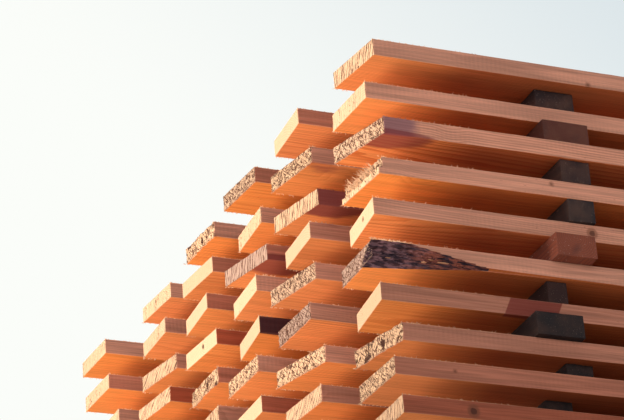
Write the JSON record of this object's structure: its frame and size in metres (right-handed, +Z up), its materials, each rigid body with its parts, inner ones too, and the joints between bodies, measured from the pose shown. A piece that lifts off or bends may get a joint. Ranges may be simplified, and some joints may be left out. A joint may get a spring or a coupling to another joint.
{
  "type": "stack of lumber",
  "caption": "Stack of rough-sawn boards set out to dry in courses, with gaps between the boards, spacer sticks between the courses and bearers below.",
  "frame": {"origin": "middle of the stack's footprint, on the ground under the bearers", "axes": "+X along the boards, with the ends that the picture shows at -X; +Y across the stack, from the near side in the picture to the far side; +Z up"},
  "size_m": [4.0512, 1.15, 2.1725],
  "materials": {
    "sawn_board": "rough sawn, raw",
    "weathered_sticker": "rough sawn, weathered dark grey",
    "bearer_timber": "rough sawn, weathered"
  },
  "bodies": {
    "root": {"course_01": "sawn_board", "course_02": "sawn_board", "course_03": "sawn_board", "course_04": "sawn_board", "course_05": "sawn_board", "course_06": "sawn_board", "course_07": "sawn_board", "course_08": "sawn_board", "course_09": "sawn_board", "course_10": "sawn_board", "course_11": "sawn_board", "course_12": "sawn_board", "course_13": "sawn_board", "course_14": "sawn_board", "course_15": "sawn_board", "course_16": "sawn_board", "course_17": "sawn_board", "course_18": "sawn_board", "course_19": "sawn_board", "course_20": "sawn_board", "course_21": "sawn_board", "course_22": "sawn_board", "course_23": "sawn_board", "course_24": "sawn_board", "course_25": "sawn_board", "course_26": "sawn_board", "course_27": "sawn_board", "course_28": "sawn_board", "course_29": "sawn_board", "course_30": "sawn_board", "course_31": "sawn_board", "course_32": "sawn_board", "course_33": "sawn_board", "course_34": "sawn_board", "course_35": "sawn_board", "course_36": "sawn_board", "stickers_line_1": "weathered_sticker", "stickers_line_2": "weathered_sticker", "stickers_line_3": "weathered_sticker", "stickers_line_4": "weathered_sticker", "stickers_line_5": "weathered_sticker", "stickers_line_6": "weathered_sticker", "bearer_1": "bearer_timber", "bearer_2": "bearer_timber", "bearer_3": "bearer_timber", "bearer_4": "bearer_timber", "bearer_5": "bearer_timber", "bearer_6": "bearer_timber"}
  },
  "joints": []
}
